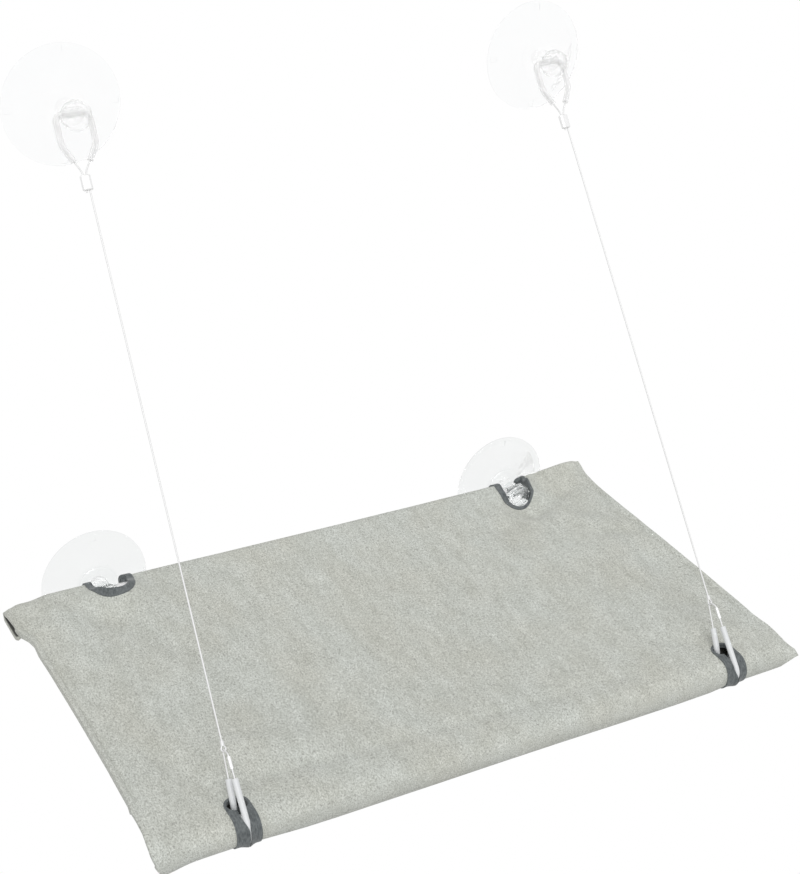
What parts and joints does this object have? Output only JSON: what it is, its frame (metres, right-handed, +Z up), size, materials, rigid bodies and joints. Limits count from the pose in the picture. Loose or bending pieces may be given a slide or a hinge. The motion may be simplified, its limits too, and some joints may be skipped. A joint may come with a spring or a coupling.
{
  "type": "window cat perch",
  "caption": "Felt-covered shelf for a cat, hung on a window: suction cups carry its back edge and wire tethers hold up its front bar.",
  "frame": {"origin": "on the window's face, midway between the axes of the lower suction cups", "axes": "+X along the window to the right of someone who looks at it from the room, +Y from the room square into the window, +Z up"},
  "size_m": [0.51, 0.2934, 0.444],
  "materials": {
    "clear_vinyl": "clear soft vinyl, glossy",
    "clear_hose": "milky clear hose",
    "pressed_metal": "bright pressed sleeve",
    "wire": "fine steel wire rope",
    "rod_steel": "coated round bar",
    "tube_steel": "coated tube",
    "corner_plastic": "moulded",
    "felt": "flecked grey felt",
    "binding_tape": "dark grey woven tape"
  },
  "bodies": {
    "cups": {"lower_cup_left": "clear_vinyl", "lower_cup_right": "clear_vinyl", "upper_cup_left": "clear_vinyl", "upper_cup_right": "clear_vinyl", "upper_hose_left": "clear_hose", "upper_hose_right": "clear_hose", "ferrule_left": "pressed_metal", "ferrule_right": "pressed_metal", "tether_wire_left": "wire", "tether_wire_right": "wire"},
    "shelf": {"frame_rod": "rod_steel", "front_tube": "tube_steel", "connector_left": "corner_plastic", "connector_right": "corner_plastic", "felt_cover": "felt", "back_binding_left": "binding_tape", "front_binding_left": "binding_tape", "bar_loop_left": "wire", "lower_hose_left": "clear_hose", "crimp_left": "pressed_metal", "back_binding_right": "binding_tape", "front_binding_right": "binding_tape", "bar_loop_right": "wire", "lower_hose_right": "clear_hose", "crimp_right": "pressed_metal"}
  },
  "joints": [
    {"name": "shelf_fold", "type": "hinge", "parent": "cups", "child": "shelf", "pos_m": [0, -0.02, 0], "axis": [-1, 0, 0], "range_deg": [0, 76], "deforming": ["tether_wire_left", "tether_wire_right"]}
  ]
}
